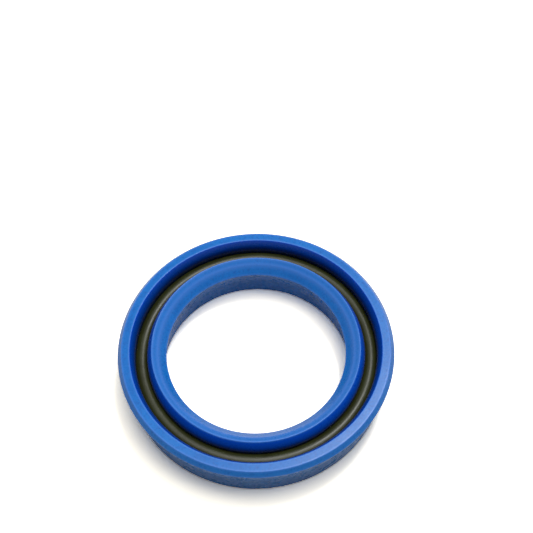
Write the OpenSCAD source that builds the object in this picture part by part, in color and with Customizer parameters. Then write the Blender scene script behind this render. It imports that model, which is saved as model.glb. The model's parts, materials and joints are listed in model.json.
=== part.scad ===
// Damper rod seal: a U-cup ring with a rubber ring in its groove, lying on its heel.
// Millimetres, +Z up. The origin is on the bore axis, in the plane of the heel face.
// The lips are drawn as they stand before fitting, spread past the rod and the housing.

/* [Fit] */
// Diameter of the rod that runs through the seal
rod_d = 22; // [21.7:0.1:22.3]
// Diameter of the housing groove around the seal
housing_d = 30; // [29.7:0.1:30.5]
// Height from the heel face to the top of the outer lip
height = 6; // [5.5:0.1:7]

/* [Heel] */
// Gap between the rod and the heel bore, on the radius
rod_gap = 0.03; // [0.01:0.01:0.2]
// Height of the straight outer wall
heel_wall_h = 2.7; // [1.5:0.1:3.5]
// Height of the straight bore wall
heel_bore_h = 2.3; // [1.5:0.1:3]
// Radius of the two heel corners
heel_edge_r = 0.2; // [0.1:0.05:0.4]
// Radius of the blend from the heel walls into the lips
blend_r = 1.5; // [0.5:0.1:2.5]

/* [Outer lip] */
// How far the outer lip stands past the housing, on the radius
outer_spread = 0.8; // [0.3:0.05:1.1]
// Height of the bevel above the outer sealing edge
outer_bevel_h = 0.58; // [0.4:0.02:1]
// Radial width of that bevel
outer_bevel_w = 0.46; // [0.3:0.02:0.6]
// Radial width of the flat top
outer_land_w = 0.95; // [0.7:0.05:1.1]

/* [Inner lip] */
// How far the inner lip stands into the rod, on the radius
inner_spread = 0.71; // [0.3:0.01:1]
// How much lower the inner lip is than the outer one
inner_lip_drop = 0.15; // [0.05:0.05:0.5]
// Radial width of the sloping top
inner_land_w = 0.7; // [0.5:0.05:0.8]
// Height of the sloping top
inner_land_h = 0.47; // [0.2:0.01:0.6]
// Radial width and height of the bevel above the inner sealing edge
inner_bevel = 0.92; // [0.6:0.02:1]
// Radius of the soft ridge between the sloping top and the bevel
ridge_r = 0.4; // [0.3:0.05:0.8]

/* [Groove] */
// Cord diameter of the rubber ring
cord_d = 1.78; // [1.5:0.02:1.9]
// Height of the cord's centre above the heel face
cord_z = 3.45; // [2.9:0.05:3.7]
// How far the cord's pocket lies outside the middle of the groove's mouth
pocket_shift = 0.05; // [0:0.01:0.1]
// Width of the upright throat above the pocket
throat_w = 1.3; // [1.1:0.05:1.5]
// Angle to the bore axis of the walls between the mouth and the throat
mouth_angle = 30; // [26:1:40]
// Radius of the bend from those walls into the throat
throat_bend_r = 1.5; // [0.5:0.1:1.8]
// Gap between the cord and the pocket wall at mid height
seat_play = 0.02; // [0.01:0.01:0.04]

/* [Edges] */
// Radius of the lip edges
lip_edge_r = 0.1; // [0.05:0.01:0.14]

/* [Hidden] */
$fn = 180;

// An edge arc is struck this much oversize, so that it crosses the faces it joins and doesn't only touch them
arc_cross = 0.0005;

// Radii of the heel walls and of the sealing edges
heel_r = housing_d / 2;
bore_r = rod_d / 2 + rod_gap;
outer_lip_r = heel_r + outer_spread;
inner_lip_r = rod_d / 2 - inner_spread;

// Edges of the two lip tops, each from its sealing side to the mouth of the groove
outer_top_r = outer_lip_r - outer_bevel_w;
outer_mouth_r = outer_top_r - outer_land_w;
inner_top_r = inner_lip_r + inner_bevel;
inner_mouth_r = inner_top_r + inner_land_w;

// Heights of the outer sealing edge, and of the inner lip from its top down to its sealing edge
outer_lip_z = height - outer_bevel_h;
inner_mouth_z = height - inner_lip_drop;
inner_top_z = inner_mouth_z - inner_land_h;
inner_lip_z = inner_top_z - inner_bevel;

// The cord rests on the floor of a round pocket, near the middle of the groove's mouth
groove_r = (outer_mouth_r + inner_mouth_r) / 2 + pocket_shift;
seat_r = cord_d / 2 + seat_play;
seat_z = cord_z + seat_play;

// The mouth walls slope in to the throat, and bend upright there
outer_throat_r = groove_r + throat_w / 2;
inner_throat_r = groove_r - throat_w / 2;
outer_bend_z = height - (outer_mouth_r - outer_throat_r) / tan(mouth_angle);
inner_bend_z = inner_mouth_z - (inner_throat_r - inner_mouth_r) / tan(mouth_angle);

// Corners of the body, anticlockwise from the heel bore: [radius, height, edge radius].
// The throat runs down to the middle of the pocket here, and the round pocket is cut afterwards.
body_corners = [
    [bore_r, 0, heel_edge_r],
    [heel_r, 0, heel_edge_r],
    [heel_r, heel_wall_h, blend_r],
    [outer_lip_r, outer_lip_z, lip_edge_r],
    [outer_top_r, height, lip_edge_r],
    [outer_mouth_r, height, lip_edge_r],
    [outer_throat_r, outer_bend_z, throat_bend_r],
    [outer_throat_r, seat_z, 0],
    [inner_throat_r, seat_z, 0],
    [inner_throat_r, inner_bend_z, throat_bend_r],
    [inner_mouth_r, inner_mouth_z, lip_edge_r],
    [inner_top_r, inner_top_z, ridge_r],
    [inner_lip_r, inner_lip_z, lip_edge_r],
    [bore_r, heel_bore_h, blend_r]
];

function place(corner) = [corner[0], corner[1]];
function direction(from, to) = (to - from) / norm(to - from);
function turn(a, p, b) = cross(p - a, b - p);

// The sliver between a corner p, with neighbours a and b, and the arc that rounds it.
// It reaches as far past the corner as the arc stays back from it, and shares no edge with the outline.
module corner_sliver(a, p, b, r) {
    to_a = direction(p, a);
    to_b = direction(p, b);
    half_angle = acos(to_a * to_b) / 2;
    tangent = r / tan(half_angle);
    centre = p + direction([0, 0], to_a + to_b) * r / sin(half_angle);
    arc_middle = centre + direction(centre, p) * r;
    difference() {
        polygon([2 * p - arc_middle, p + to_a * tangent, p + to_b * tangent]);
        translate(centre) circle(r = r + arc_cross);
    }
}

// Slivers of all corners that turn one way: +1 for corners that stand out, -1 for those that go in
module corner_slivers(corners, way) {
    count = len(corners);
    for (i = [0:count - 1]) {
        a = place(corners[(i + count - 1) % count]);
        p = place(corners[i]);
        b = place(corners[(i + 1) % count]);
        r = corners[i][2];
        if (r > 0 && turn(a, p, b) * way > 0) corner_sliver(a, p, b, r);
    }
}

module rounded_outline(corners) {
    difference() {
        polygon([for (corner = corners) place(corner)]);
        corner_slivers(corners, 1);
    }
    corner_slivers(corners, -1);
}

module seal_ring() {
    color([0.09, 0.33, 0.76])
    rotate_extrude()
    difference() {
        rounded_outline(body_corners);
        translate([groove_r, seat_z]) circle(r = seat_r);
    }
}

module o_ring() {
    color([0.10, 0.10, 0.08])
    rotate_extrude()
    translate([groove_r, cord_z])
    circle(d = cord_d);
}

seal_ring();
o_ring();
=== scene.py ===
"""Looks of a damper rod seal: a blue U-cup ring with a black rubber ring in its groove, lying on its heel.

Every piece is a profile turned about the bore axis. Lengths are metres, +Z is up, and the origin is on the
bore axis in the plane of the heel face.
"""

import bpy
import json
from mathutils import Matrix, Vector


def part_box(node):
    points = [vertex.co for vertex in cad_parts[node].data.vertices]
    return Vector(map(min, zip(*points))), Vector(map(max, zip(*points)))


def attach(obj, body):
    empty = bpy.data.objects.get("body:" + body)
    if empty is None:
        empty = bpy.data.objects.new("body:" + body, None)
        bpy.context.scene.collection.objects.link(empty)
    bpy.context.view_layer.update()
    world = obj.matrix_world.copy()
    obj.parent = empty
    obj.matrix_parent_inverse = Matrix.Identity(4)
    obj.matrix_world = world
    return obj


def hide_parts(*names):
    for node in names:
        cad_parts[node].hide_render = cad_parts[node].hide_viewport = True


bl_info = {
    "name": "Damper Rod Seal",
    "version": (1, 0, 0),
    "blender": (4, 5, 0),
    "location": "View3D > Sidebar > Rod Seal",
    "description": "Builds a U-cup rod seal and the rubber ring in its groove, on a pale stage",
    "category": "Add Mesh",
}

import json
import math

import bpy
import numpy as np
from bpy.props import FloatProperty, FloatVectorProperty, IntProperty, PointerProperty
from mathutils import Quaternion, Vector

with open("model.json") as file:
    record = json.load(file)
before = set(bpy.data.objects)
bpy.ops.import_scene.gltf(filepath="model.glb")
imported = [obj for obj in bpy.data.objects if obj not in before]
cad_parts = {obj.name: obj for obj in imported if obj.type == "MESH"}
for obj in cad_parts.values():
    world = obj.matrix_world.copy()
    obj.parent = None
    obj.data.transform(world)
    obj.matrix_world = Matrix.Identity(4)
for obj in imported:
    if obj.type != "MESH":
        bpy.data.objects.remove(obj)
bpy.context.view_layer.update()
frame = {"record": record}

MM = 0.001
BODY = "root"

# Width and height of the picture, and the width of the camera's sensor in its own millimetres
PICTURE_PX = 533
SENSOR_MM = 36.0

# The camera sees nothing nearer than this share of its distance to the seal
NEAREST_SHARE = 0.1

# Steps on each arc, on each straight stretch and on each half of the pocket
ARC_STEPS = 8
STRETCH_STEPS = 5
POCKET_STEPS = 16

# Faces that meet at more than this angle keep a sharp edge between them
SHARP_ANGLE = math.radians(40.0)

# The painted shade in the groove sets in sooner on the outer wall, as this power of the depth
OUTER_SHADE_POWER = 0.38

# Lengths of the patterns in the polyurethane, and depths of its relief
CLOUDS = 4.0 * MM
SPECKS = 0.28 * MM
GRAIN = 0.2 * MM
TURNED_RINGS = 0.12 * MM
GLOSS_PATCHES = 0.8 * MM
GRAIN_RELIEF = 0.005 * MM
RING_RELIEF = 0.002 * MM

# The same for the rubber
FILM_PATCHES = 1.6 * MM
MOULDED_GRAIN = 0.07 * MM
MOULDED_RELIEF = 0.004 * MM

# Noise levels between which a pattern goes from nothing to full
CLOUD_LIMITS = (0.35, 0.65)
SPECK_LIMITS = (0.48, 0.68)
PATCH_LIMITS = (0.3, 0.7)

# How fine the noise goes inside its lumps: for most patterns, for patches and for the turned rings
PLAIN_DETAIL = 3.0
PATCH_DETAIL = 4.0
RING_DETAIL = 2.0

# Least and most film on the rubber, and the amounts at which the rubber is glossiest and dullest
FILM_COVER = (0.35, 1.0)
DULLING_FILM = (0.3, 1.0)

# Roughness where each finish is glossiest and dullest, and its specular level
POLYURETHANE_ROUGHNESS = (0.25, 0.31)
POLYURETHANE_SPECULAR = 0.25
RUBBER_ROUGHNESS = (0.28, 0.37)
RUBBER_SPECULAR = 0.27

# Places of a Mix node's colour sockets, which share their names with its other sockets
MIX_FIRST = 6
MIX_SECOND = 7
MIX_RESULT = 2

WHITE = (1.0, 1.0, 1.0)


def mount_radius(name):
    """Radius of the record's mount of that name, in metres."""
    for mount in frame["record"]["mounts"]:
        if mount["name"] == name:
            return mount["dims"]["r_mm"] * MM
    raise KeyError(f"the record has no mount named {name}")


def length(name, description, default):
    """A length property, in metres."""
    return FloatProperty(
        name=name, description=description, default=default, min=0.0, precision=5, unit="LENGTH"
    )


def colour(name, description, default):
    """A colour property, as linear red, green and blue."""
    return FloatVectorProperty(
        name=name, description=description, default=default, min=0.0, max=1.0, size=3, subtype="COLOR"
    )


def level(name, description, default):
    """A property for an amount of light, where 1 shows white as white."""
    return FloatProperty(name=name, description=description, default=default, min=0.0)


def share(name, description, default):
    """A property for a part of a whole, from 0 to 1."""
    return FloatProperty(
        name=name, description=description, default=default, min=0.0, max=1.0, subtype="FACTOR"
    )


def angle(name, description, degrees):
    """An angle property, given in degrees and kept in radians."""
    return FloatProperty(
        name=name, description=description, default=math.radians(degrees), subtype="ANGLE"
    )


ring_low, ring_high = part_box("seal_ring")
cord_low, cord_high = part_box("o_ring")
CORD_DIAMETER = cord_high.z - cord_low.z
CORD_RADIUS = cord_high.x - CORD_DIAMETER / 2
CORD_HEIGHT = (cord_low.z + cord_high.z) / 2


class SealRingSettings(bpy.types.PropertyGroup):
    """Sizes and colours of the blue ring."""

    heel_radius: length("Heel radius", "Radius of the straight outer wall", mount_radius("heel_wall"))
    bore_radius: length("Bore radius", "Radius of the straight bore wall", mount_radius("heel_bore"))
    height: length("Height", "From the heel face to the top of the outer lip", ring_high.z - ring_low.z)
    heel_wall_height: length("Wall height", "Height of the straight outer wall", 2.7 * MM)
    heel_bore_height: length("Bore height", "Height of the straight bore wall", 2.3 * MM)
    heel_edge: length("Heel edge", "Radius of the two heel corners", 0.2 * MM)
    wall_blend: length("Wall blend", "Radius of the blend from the heel walls into the lips", 1.5 * MM)
    outer_spread: length("Outer spread", "How far the outer lip stands out past the heel wall", 0.8 * MM)
    outer_bevel_height: length("Outer bevel height", "Height of the bevel above the outer edge", 0.58 * MM)
    outer_bevel_width: length("Outer bevel width", "Radial width of that bevel", 0.46 * MM)
    outer_land: length("Outer land", "Radial width of the outer lip's flat top", 0.95 * MM)
    inner_spread: length("Inner spread", "How far the inner lip stands in past the heel bore", 0.74 * MM)
    inner_lip_drop: length("Inner lip drop", "How much lower the inner lip is than the outer", 0.15 * MM)
    inner_land: length("Inner land", "Radial width of the inner lip's sloping top", 0.7 * MM)
    inner_land_drop: length("Inner land drop", "Height of that sloping top", 0.47 * MM)
    inner_bevel: length("Inner bevel", "Width and height of the bevel above the inner edge", 0.92 * MM)
    inner_ridge: length("Inner ridge", "Radius between the sloping top and the bevel", 0.4 * MM)
    lip_edge: length("Lip edge", "Radius of the other lip edges", 0.1 * MM)
    throat: length("Throat", "Width of the groove where it is narrowest, above the rubber ring", 1.3 * MM)
    mouth_angle: angle("Mouth angle", "Angle to the axis of the walls from the mouth to the throat", 30.0)
    throat_round: length("Throat round", "Radius of the bend from those walls into the throat", 1.5 * MM)
    seat_play: length("Seat play", "Gap between the rubber ring and the pocket's sides", 0.02 * MM)
    turns: IntProperty(name="Turns", description="Faces around the ring", default=360, min=24)
    blue: colour("Blue", "Colour of the polyurethane", (0.002, 0.144, 0.530))
    cloudy_blue: colour("Cloudy blue", "Colour of its paler clouds", (0.006, 0.172, 0.595))
    speck_blue: colour("Speck blue", "Colour of its darker specks", (0.002, 0.118, 0.470))
    # Painted highlight: a paler blue on the thin lip edges, and below how far it reaches
    edge_highlight_blue: colour("Edge blue", "Colour of the thin edges, which light gets into", (0.045, 0.195, 0.640))
    edge_width: length("Edge width", "How far the paler edge colour reaches", 0.12 * MM)
    thin_width: length("Thin width", "How far it reaches on the thin top of the inner lip", 0.35 * MM)
    # Painted light: a brighter blue high on the groove walls, standing in for light through the lip
    painted_light_blue: colour(
        "Wall blue", "Colour high on the groove walls, with light through the lip", (0.002, 0.090, 0.660)
    )
    # Where the painted light is strongest, and where the painted shade begins
    wall_depth: share("Wall depth", "How far down the groove that colour is strongest", 0.16)
    # Painted shade: a dark blue deep in the groove, where the walls would be in shade
    painted_shade_blue: colour(
        "Groove blue", "Colour deep in the groove, where light hardly gets in", (0.0003, 0.012, 0.042)
    )


class RubberRingSettings(bpy.types.PropertyGroup):
    """Sizes and colours of the black ring in the groove."""

    cord_diameter: length("Cord diameter", "Thickness of the ring", CORD_DIAMETER)
    radius: length("Radius", "From the axis to the middle of the cord", CORD_RADIUS)
    height: length("Height", "Height of the cord's middle above the heel face", CORD_HEIGHT)
    turns: IntProperty(name="Turns", description="Faces around the ring", default=360, min=24)
    sides: IntProperty(name="Sides", description="Faces around the cord", default=72, min=12)
    black: colour("Black", "Colour of the rubber", (0.016, 0.016, 0.004))
    bloom: colour("Bloom", "Colour of the dull film on the rubber", (0.025, 0.029, 0.008))


class StageSettings(bpy.types.PropertyGroup):
    """Camera, light and floor."""

    camera_elevation: angle("Camera elevation", "Angle of the sight line to the heel's middle", 62.48)
    camera_distance: length("Camera distance", "From the heel's middle to the camera", 113.9 * MM)
    camera_roll: angle("Camera roll", "Turn of the camera about that line", -2.59)
    focal_px: FloatProperty(
        name="Focal length", description="Focal length in picture pixels", default=951.0, subtype="PIXEL"
    )
    heel_px: FloatVectorProperty(
        name="Heel in picture", description="Pixel of the heel's middle", default=(256.9, 368.0), size=2
    )
    floor: colour("Floor", "Colour of the floor, as it lights the seal", (0.55, 0.52, 0.45))
    floor_gain: FloatProperty(
        name="Floor gain", description="How many times brighter it shows to the camera", default=3.8, min=0.0
    )
    floor_mirrored: share("Floor mirrored", "How much of that gain shows where the seal mirrors it", 0.55)
    floor_size: length("Floor size", "Length of the floor's sides", 2.0)
    white_from: length("White from", "Distance at which the floor begins to turn plain white", 80.0 * MM)
    white_past: length("White past", "Distance past which the floor is plain white", 200.0 * MM)
    sky: colour("Sky", "Light of the dim surroundings", (0.09, 0.085, 0.08))
    lamp_distance: length("Lamp distance", "From the heel's middle to each lamp", 500.0 * MM)
    top_level: level("Top level", "Light of the lamp overhead on a white face turned to it", 0.61)
    top_size: length("Top size", "Length of its sides", 300.0 * MM)
    top_azimuth: angle("Top azimuth", "Its turn from straight behind the seal, to the right", 70.0)
    top_elevation: angle("Top elevation", "Its angle above the floor", 86.0)
    back_level: level("Back level", "Light of the lamp behind the seal on a white face turned to it", 0.42)
    back_size: length("Back size", "Length of its sides", 110.0 * MM)
    back_azimuth: angle("Back azimuth", "Its turn from straight behind the seal, to the right", 36.0)
    back_elevation: angle("Back elevation", "Its angle above the floor", 68.0)


def unit(vectors):
    """The vectors, each divided by its length."""
    return vectors / np.linalg.norm(vectors, axis=-1, keepdims=True)


def rounded_path(corners, edges):
    """Points on a path of straight stretches with an arc at each corner between its two ends.

    An arc of radius e meets its stretches at e / tan(half angle) from the corner, and its centre lies
    e / sin(half angle) along the bisector. The spokes between the two meeting points are spaced evenly by
    the sine rule: sin((1 - t) turn) of the first plus sin(t turn) of the last, over sin(turn).
    """
    corner = corners[1:-1]
    back = unit(corners[:-2] - corner)
    ahead = unit(corners[2:] - corner)
    half = np.arccos(np.sum(back * ahead, axis=1)) / 2
    reach = (edges / np.tan(half))[:, None]
    centre = corner + unit(back + ahead) * (edges / np.sin(half))[:, None]
    first = (corner + back * reach - centre)[:, None]
    last = (corner + ahead * reach - centre)[:, None]
    turn = (np.pi - 2 * half)[:, None, None]
    step = np.linspace(0.0, 1.0, ARC_STEPS + 1)[None, :, None]
    spokes = (np.sin((1 - step) * turn) * first + np.sin(step * turn) * last) / np.sin(turn)
    arcs = centre[:, None] + spokes

    begin = np.concatenate([corners[:1], arcs[:, -1]])[:, None]
    end = np.concatenate([arcs[:, 0], corners[-1:]])[:, None]
    part = (np.arange(1, STRETCH_STEPS) / STRETCH_STEPS)[None, :, None]
    stretches = begin + (end - begin) * part
    joined = np.concatenate([stretches[:-1], arcs], axis=1).reshape(-1, 2)
    return np.concatenate([joined, stretches[-1]])


# Painted highlight: how pale each profile point is along the lip edges
def painted_edge_highlight(profile, corners, reaches):
    """For each point exp(-(d / reach)^2) at its largest, where d is its distance to a corner with a reach."""
    pale = reaches > 0.0
    gaps = np.linalg.norm(profile[:, None] - corners[None, pale], axis=-1)
    return np.exp(-((gaps / reaches[pale]) ** 2)).max(axis=1)


def groove_depth(profile, inner_mouth, outer_mouth, rubber):
    """For each point the way down from its lip's top to the cord's, from 0 to 1, and 0 outside the groove.

    The mouths are the (radius, height) of the lip tops' edges at the groove. On the outer wall the way is
    raised to a power, so that the painted shade sets in sooner there. The result is the mask for the painted
    light and the painted shade on the groove walls.
    """
    radius = profile[:, 0]
    height = profile[:, 1]
    outside = radius > rubber.radius
    lip_top = np.where(outside, outer_mouth[1], inner_mouth[1])
    cord_top = rubber.height + rubber.cord_diameter / 2
    way = np.clip((lip_top - height) / (lip_top - cord_top), 0.0, 1.0)
    power = np.where(outside, OUTER_SHADE_POWER, 1.0)
    above_heel = height > rubber.height - rubber.cord_diameter
    in_groove = (radius > inner_mouth[0]) & (radius < outer_mouth[0]) & above_heel
    return np.where(in_groove, way ** power, 0.0)


def seal_profile(ring, rubber):
    """The blue ring's section as (radius, height) points, clockwise, with each point's pale edge and depth.

    From the bottom of the pocket it goes up to the throat and the outer groove wall, over the outer lip,
    down to the heel, up the bore, over the inner lip and back down into the pocket, which is part of a
    circle round the cord.
    """
    outer_lip = ring.heel_radius + ring.outer_spread
    outer_top = outer_lip - ring.outer_bevel_width
    outer_mouth = outer_top - ring.outer_land
    inner_lip = ring.bore_radius - ring.inner_spread
    inner_top = inner_lip + ring.inner_bevel
    inner_mouth = inner_top + ring.inner_land
    outer_lip_height = ring.height - ring.outer_bevel_height
    inner_mouth_height = ring.height - ring.inner_lip_drop
    inner_top_height = inner_mouth_height - ring.inner_land_drop
    inner_lip_height = inner_top_height - ring.inner_bevel
    seat = rubber.cord_diameter / 2 + ring.seat_play
    seat_height = rubber.height + ring.seat_play

    # The throat's upright walls meet the pocket above the cord's middle, and bend outwards to the mouth
    throat_turn = math.pi - math.asin(ring.throat / 2 / seat)
    throat_height = seat_height - seat * math.cos(throat_turn)
    outer_throat = rubber.radius + ring.throat / 2
    inner_throat = rubber.radius - ring.throat / 2
    outer_bend = ring.height - (outer_mouth - outer_throat) / math.tan(ring.mouth_angle)
    inner_bend = inner_mouth_height - (inner_throat - inner_mouth) / math.tan(ring.mouth_angle)

    # Radius, height, edge radius and reach of the painted edge highlight at each corner between the throat's
    # two sides
    table = np.array([
        (outer_throat, throat_height, 0.0, 0.0),
        (outer_throat, outer_bend, ring.throat_round, 0.0),
        (outer_mouth, ring.height, ring.lip_edge, ring.edge_width),
        (outer_top, ring.height, ring.lip_edge, ring.edge_width),
        (outer_lip, outer_lip_height, ring.lip_edge, ring.edge_width),
        (ring.heel_radius, ring.heel_wall_height, ring.wall_blend, 0.0),
        (ring.heel_radius, 0.0, ring.heel_edge, 0.0),
        (ring.bore_radius, 0.0, ring.heel_edge, 0.0),
        (ring.bore_radius, ring.heel_bore_height, ring.wall_blend, 0.0),
        (inner_lip, inner_lip_height, ring.lip_edge, ring.edge_width),
        (inner_top, inner_top_height, ring.inner_ridge, ring.thin_width),
        (inner_mouth, inner_mouth_height, ring.lip_edge, ring.thin_width),
        (inner_throat, inner_bend, ring.throat_round, 0.0),
        (inner_throat, throat_height, 0.0, 0.0),
    ])
    corners = table[:, :2]
    path = rounded_path(corners, table[1:-1, 2])
    turns = np.linspace(0.0, throat_turn, POCKET_STEPS + 1)
    rising = np.stack([np.sin(turns), -np.cos(turns)], axis=1) * seat
    falling = rising[:0:-1] * (-1.0, 1.0)
    middle = np.array([rubber.radius, seat_height])
    profile = np.concatenate([middle + rising, path, middle + falling])
    # Masks for the painted edge highlight, and for the painted light and painted shade in the groove
    edge = painted_edge_highlight(profile, corners, table[:, 3])
    depth = groove_depth(profile, (inner_mouth, inner_mouth_height), (outer_mouth, ring.height), rubber)
    return profile, edge, depth


def cord_profile(rubber):
    """The black ring's section: a circle of (radius, height) points, clockwise from its inner side."""
    spoke = np.linspace(np.pi, -np.pi, rubber.sides, endpoint=False)
    circle = np.stack([np.cos(spoke), np.sin(spoke)], axis=1) * rubber.cord_diameter / 2
    return np.array([rubber.radius, rubber.height]) + circle


def turned(name, profile, turns):
    """A closed ring: each profile point (r, z) goes to (r cos a, r sin a, z) at evenly spaced angles a.

    Its faces join neighbours along the profile and around the axis, and both ways close on themselves.
    A clockwise profile gives faces that point outwards.
    """
    around = np.linspace(0.0, 2 * np.pi, turns, endpoint=False)
    radius = profile[:, :1]
    height = np.repeat(profile[:, 1:], turns, axis=1)
    points = np.stack([radius * np.cos(around), radius * np.sin(around), height], axis=-1)
    index = np.arange(len(profile) * turns).reshape(len(profile), turns)
    along = np.roll(index, -1, axis=0)
    faces = np.stack([index, along, np.roll(along, -1, axis=1), np.roll(index, -1, axis=1)], axis=-1)
    mesh = bpy.data.meshes.new(name)
    mesh.from_pydata(points.reshape(-1, 3).tolist(), [], faces.reshape(-1, 4).tolist())
    if mesh.validate():
        raise RuntimeError(f"{name} has faces that Blender had to mend")
    mesh.shade_smooth()
    mesh.set_sharp_from_angle(angle=SHARP_ANGLE)
    piece = bpy.data.objects.new(name, mesh)
    bpy.context.scene.collection.objects.link(piece)
    return piece


def store(piece, name, values, turns):
    """Writes a point attribute with one value for each profile point, alike all round the ring."""
    attribute = piece.data.attributes.new(name, "FLOAT", "POINT")
    attribute.data.foreach_set("value", np.repeat(values, turns).astype(np.float32))


def feed(links, socket, given):
    """Links a socket to an output, or sets it to a plain number or colour."""
    if isinstance(given, bpy.types.NodeSocket):
        links.new(given, socket)
    elif socket.type == "RGBA":
        socket.default_value = (*given, 1.0)
    else:
        socket.default_value = given


def combined(nodes, links, operation, first, second):
    """A Math node's result from two values."""
    node = nodes.new("ShaderNodeMath")
    node.operation = operation
    feed(links, node.inputs[0], first)
    feed(links, node.inputs[1], second)
    return node.outputs["Value"]


def colour_mix(nodes, links, factor, first, second):
    """The first colour where the factor is 0, the second where it is 1."""
    node = nodes.new("ShaderNodeMix")
    node.data_type = "RGBA"
    feed(links, node.inputs["Factor"], factor)
    feed(links, node.inputs[MIX_FIRST], first)
    feed(links, node.inputs[MIX_SECOND], second)
    return node.outputs[MIX_RESULT]


def stretched(nodes, links, value, within, onto=(0.0, 1.0)):
    """The value within the first limits stretched onto the second ones, and held there."""
    node = nodes.new("ShaderNodeMapRange")
    feed(links, node.inputs["Value"], value)
    for socket, limit in zip(("From Min", "From Max", "To Min", "To Max"), (*within, *onto)):
        feed(links, node.inputs[socket], limit)
    return node.outputs["Result"]


def axis_distance(nodes, links, place):
    """The place's distance from the bore axis: the length of (x, y, 0)."""
    flat = nodes.new("ShaderNodeVectorMath")
    flat.operation = "MULTIPLY"
    flat.inputs[1].default_value = (1.0, 1.0, 0.0)
    distance = nodes.new("ShaderNodeVectorMath")
    distance.operation = "LENGTH"
    links.new(place, flat.inputs[0])
    links.new(flat.outputs["Vector"], distance.inputs[0])
    return distance.outputs["Value"]


class Finish:
    """A node material around one Principled shader, with the patterns that both rubbers need."""

    def __init__(self, name, specular):
        self.material = bpy.data.materials.new(name)
        self.material.use_nodes = True
        self.nodes = self.material.node_tree.nodes
        self.links = self.material.node_tree.links
        self.shader = self.nodes["Principled BSDF"]
        self.shader.inputs["Specular IOR Level"].default_value = specular
        self.place = self.nodes.new("ShaderNodeTexCoord").outputs["Object"]

    def noise(self, feature, detail=PLAIN_DETAIL, place=None):
        """Noise whose lumps are about one feature long."""
        node = self.nodes.new("ShaderNodeTexNoise")
        node.inputs["Scale"].default_value = 1.0 / feature
        node.inputs["Detail"].default_value = detail
        self.links.new(place or self.place, node.inputs["Vector"])
        return node.outputs["Fac"]

    def section(self):
        """The place on the section, as (distance from the axis, height, 0), alike all round the ring."""
        parts = self.nodes.new("ShaderNodeSeparateXYZ")
        both = self.nodes.new("ShaderNodeCombineXYZ")
        self.links.new(self.place, parts.inputs["Vector"])
        self.links.new(axis_distance(self.nodes, self.links, self.place), both.inputs["X"])
        self.links.new(parts.outputs["Z"], both.inputs["Y"])
        return both.outputs["Vector"]

    def spread(self, value, within, onto=(0.0, 1.0)):
        """The value within the first limits stretched onto the second ones, and held there."""
        return stretched(self.nodes, self.links, value, within, onto)

    def blend(self, factor, first, second):
        """The first colour where the factor is 0, the second where it is 1."""
        return colour_mix(self.nodes, self.links, factor, first, second)

    def bump(self, height, depth, before=None):
        """The surface's normal over relief of that depth, on top of an earlier relief."""
        node = self.nodes.new("ShaderNodeBump")
        node.inputs["Distance"].default_value = depth
        self.links.new(height, node.inputs["Height"])
        if before is not None:
            self.links.new(before, node.inputs["Normal"])
        return node.outputs["Normal"]

    def attribute(self, name):
        """The value stored on the mesh under that name."""
        node = self.nodes.new("ShaderNodeAttribute")
        node.attribute_name = name
        return node.outputs["Fac"]

    def finish(self, paint, roughness, normal):
        """The material, with these on its shader."""
        self.links.new(paint, self.shader.inputs["Base Color"])
        self.links.new(roughness, self.shader.inputs["Roughness"])
        self.links.new(normal, self.shader.inputs["Normal"])
        return self.material


def blue_polyurethane(ring):
    """Satin polyurethane: paler clouds, darker specks, patches of gloss, fine turned rings and a fine grain.

    The thin edges are paler, a painted highlight. Down the groove the colour turns first to a painted light,
    a brighter blue for light through the lip, and then to a painted shade.
    """
    look = Finish("blue_polyurethane", POLYURETHANE_SPECULAR)
    clouds = look.spread(look.noise(CLOUDS), CLOUD_LIMITS)
    specks = look.spread(look.noise(SPECKS), SPECK_LIMITS)
    rings = look.noise(TURNED_RINGS, RING_DETAIL, look.section())
    body = look.blend(specks, look.blend(clouds, ring.blue, ring.cloudy_blue), ring.speck_blue)
    # Painted highlight: paler blue along the thin lip edges
    with_edge_highlight = look.blend(look.attribute("edge"), body, ring.edge_highlight_blue)
    depth = look.attribute("depth")
    # Painted light: a brighter blue high on the groove walls
    with_painted_light = look.blend(look.spread(depth, (0.0, ring.wall_depth)), with_edge_highlight, ring.painted_light_blue)
    # Painted shade: the colour darkens down the groove towards the cord
    paint = look.blend(look.spread(depth, (ring.wall_depth, 1.0)), with_painted_light, ring.painted_shade_blue)
    gloss = look.noise(GLOSS_PATCHES, PATCH_DETAIL)
    roughness = look.spread(gloss, PATCH_LIMITS, POLYURETHANE_ROUGHNESS)
    normal = look.bump(rings, RING_RELIEF, look.bump(look.noise(GRAIN), GRAIN_RELIEF))
    return look.finish(paint, roughness, normal)


def black_rubber(rubber):
    """Matte nitrile rubber: a dull film that comes and goes, over a fine moulded grain."""
    look = Finish("black_rubber", RUBBER_SPECULAR)
    film = look.spread(look.noise(FILM_PATCHES, PATCH_DETAIL), PATCH_LIMITS, FILM_COVER)
    paint = look.blend(film, rubber.black, rubber.bloom)
    roughness = look.spread(film, DULLING_FILM, RUBBER_ROUGHNESS)
    normal = look.bump(look.noise(MOULDED_GRAIN), MOULDED_RELIEF)
    return look.finish(paint, roughness, normal)


class ROD_SEAL_OT_seal_ring(bpy.types.Operator):
    """Build the blue U-cup ring"""

    bl_idname = "rod_seal.seal_ring"
    bl_label = "Seal ring"

    def execute(self, context):
        ring = context.scene.seal_ring
        profile, edge, depth = seal_profile(ring, context.scene.rubber_ring)
        piece = turned("blue_seal_ring", profile, ring.turns)
        # The edge attribute masks the painted edge highlight; the depth attribute masks the painted light and
        # shade in the groove
        store(piece, "edge", edge, ring.turns)
        store(piece, "depth", depth, ring.turns)
        piece.data.materials.append(blue_polyurethane(ring))
        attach(piece, BODY)
        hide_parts("seal_ring")
        return {"FINISHED"}


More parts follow.
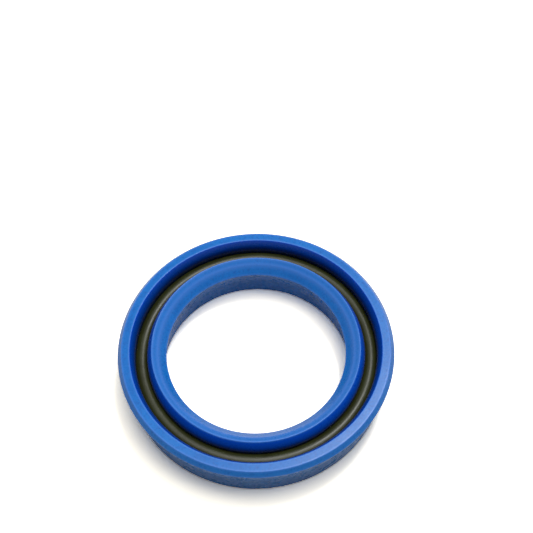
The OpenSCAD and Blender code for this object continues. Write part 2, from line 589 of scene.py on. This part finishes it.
class ROD_SEAL_OT_rubber_ring(bpy.types.Operator):
    """Build the black rubber ring in the groove"""

    bl_idname = "rod_seal.rubber_ring"
    bl_label = "Rubber ring"

    def execute(self, context):
        rubber = context.scene.rubber_ring
        piece = turned("black_o_ring", cord_profile(rubber), rubber.turns)
        piece.data.materials.append(black_rubber(rubber))
        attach(piece, BODY)
        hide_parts("o_ring")
        return {"FINISHED"}


def background_rays(nodes, links, mirrored=1.0):
    """1 for rays that show the background straight, and 0 for rays that light the seal.

    Rays that show it by reflection or through glass get the mirrored share.
    """
    path = nodes.new("ShaderNodeLightPath").outputs
    bent = combined(nodes, links, "MAXIMUM", path["Is Glossy Ray"], path["Is Transmission Ray"])
    dimmed = combined(nodes, links, "MULTIPLY", bent, mirrored)
    return combined(nodes, links, "MAXIMUM", path["Is Camera Ray"], dimmed)


def pale_floor(stage):
    """A matte floor that takes shadows, and that shows brighter to the camera than it lights the seal.

    Far from the seal, where the lamps hardly reach, it shows as plain white.
    """
    material = bpy.data.materials.new("pale_floor")
    material.use_nodes = True
    nodes = material.node_tree.nodes
    links = material.node_tree.links
    nodes.clear()
    bright = [part * stage.floor_gain for part in stage.floor]
    gained = background_rays(nodes, links, stage.floor_mirrored)
    matte = nodes.new("ShaderNodeBsdfDiffuse")
    links.new(colour_mix(nodes, links, gained, stage.floor, bright), matte.inputs["Color"])
    white = nodes.new("ShaderNodeEmission")
    place = nodes.new("ShaderNodeTexCoord").outputs["Object"]
    distance = axis_distance(nodes, links, place)
    far = stretched(nodes, links, distance, (stage.white_from, stage.white_past))
    far_background = combined(nodes, links, "MULTIPLY", far, background_rays(nodes, links))
    whole = nodes.new("ShaderNodeMixShader")
    links.new(far_background, whole.inputs["Fac"])
    links.new(matte.outputs["BSDF"], whole.inputs[1])
    links.new(white.outputs["Emission"], whole.inputs[2])
    output = nodes.new("ShaderNodeOutputMaterial")
    links.new(whole.outputs["Shader"], output.inputs["Surface"])
    return material


def add_floor(scene, stage):
    """A square floor in the plane of the heel face."""
    half = stage.floor_size / 2
    height = ring_low.z
    corners = [(-half, -half, height), (half, -half, height), (half, half, height), (-half, half, height)]
    mesh = bpy.data.meshes.new("floor")
    mesh.from_pydata(corners, [], [(0, 1, 2, 3)])
    mesh.materials.append(pale_floor(stage))
    floor = bpy.data.objects.new("floor", mesh)
    scene.collection.objects.link(floor)


def add_surroundings(scene, stage):
    """Dim surroundings, which the camera sees as white."""
    world = bpy.data.worlds.new("surroundings")
    world.use_nodes = True
    scene.world = world
    nodes = world.node_tree.nodes
    links = world.node_tree.links
    sky = colour_mix(nodes, links, background_rays(nodes, links), stage.sky, WHITE)
    links.new(sky, nodes["Background"].inputs["Color"])


def direction_from(azimuth, elevation):
    """The direction at that turn from +Y towards +X, and at that angle above the floor."""
    return Vector((
        math.sin(azimuth) * math.cos(elevation),
        math.cos(azimuth) * math.cos(elevation),
        math.sin(elevation),
    ))


def add_lamp(scene, name, towards, distance, size, level_there):
    """A square lamp in that direction, turned to the seal.

    A face turned to a lamp of power P at distance d gets P / (pi d^2), and a white one then shows
    that light divided by pi, so the power for a level is level pi^2 d^2.
    """
    data = bpy.data.lights.new(name, "AREA")
    data.size = size
    data.energy = level_there * (math.pi * distance) ** 2
    lamp = bpy.data.objects.new(name, data)
    lamp.location = towards * distance
    lamp.rotation_mode = "QUATERNION"
    lamp.rotation_quaternion = (-towards).to_track_quat("-Z", "Y")
    scene.collection.objects.link(lamp)


def add_camera(scene, stage):
    """A camera in front of the seal that sees the heel's middle at its own pixel.

    It is first aimed at the heel's middle, then rolled about that line, and then turned so that the line
    leaves the picture through the heel's pixel.
    """
    data = bpy.data.cameras.new("camera")
    data.sensor_width = SENSOR_MM
    data.lens = stage.focal_px / PICTURE_PX * SENSOR_MM
    data.clip_start = stage.camera_distance * NEAREST_SHARE
    right = stage.heel_px[0] - PICTURE_PX / 2
    down = stage.heel_px[1] - PICTURE_PX / 2
    sight = Vector((right, -down, -stage.focal_px))
    towards = direction_from(math.pi, stage.camera_elevation)
    aim = (-towards).to_track_quat("-Z", "Y")
    roll = Quaternion((0.0, 0.0, 1.0), stage.camera_roll)
    swing = sight.rotation_difference(Vector((0.0, 0.0, -1.0)))
    camera = bpy.data.objects.new("camera", data)
    camera.location = towards * stage.camera_distance
    camera.rotation_mode = "QUATERNION"
    camera.rotation_quaternion = aim @ roll @ swing
    scene.collection.objects.link(camera)
    scene.camera = camera


class ROD_SEAL_OT_stage(bpy.types.Operator):
    """Build the floor, the light and the camera"""

    bl_idname = "rod_seal.stage"
    bl_label = "Stage"

    def execute(self, context):
        scene = context.scene
        stage = scene.seal_stage
        scene.view_settings.view_transform = "Standard"
        add_floor(scene, stage)
        add_surroundings(scene, stage)
        overhead = direction_from(stage.top_azimuth, stage.top_elevation)
        behind = direction_from(stage.back_azimuth, stage.back_elevation)
        add_lamp(scene, "top_lamp", overhead, stage.lamp_distance, stage.top_size, stage.top_level)
        add_lamp(scene, "back_lamp", behind, stage.lamp_distance, stage.back_size, stage.back_level)
        add_camera(scene, stage)
        return {"FINISHED"}


OPERATORS = (ROD_SEAL_OT_seal_ring, ROD_SEAL_OT_rubber_ring, ROD_SEAL_OT_stage)
SETTINGS = {"seal_ring": SealRingSettings, "rubber_ring": RubberRingSettings, "seal_stage": StageSettings}


class ROD_SEAL_PT_sidebar(bpy.types.Panel):
    """The seal's settings and the operators that build it"""

    bl_idname = "ROD_SEAL_PT_sidebar"
    bl_label = "Damper rod seal"
    bl_space_type = "VIEW_3D"
    bl_region_type = "UI"
    bl_category = "Rod Seal"

    def draw(self, context):
        for operator, (name, group) in zip(OPERATORS, SETTINGS.items()):
            settings = getattr(context.scene, name)
            box = self.layout.box()
            box.operator(operator.bl_idname)
            for key in group.__annotations__:
                box.prop(settings, key)


CLASSES = (*SETTINGS.values(), *OPERATORS, ROD_SEAL_PT_sidebar)


def register():
    for cls in CLASSES:
        bpy.utils.register_class(cls)
    for name, group in SETTINGS.items():
        setattr(bpy.types.Scene, name, PointerProperty(type=group))


def unregister():
    for name in SETTINGS:
        delattr(bpy.types.Scene, name)
    for cls in reversed(CLASSES):
        bpy.utils.unregister_class(cls)


def main():
    register()
    bpy.ops.rod_seal.seal_ring()
    bpy.ops.rod_seal.rubber_ring()
    bpy.ops.rod_seal.stage()


if __name__ == "__main__":
    main()
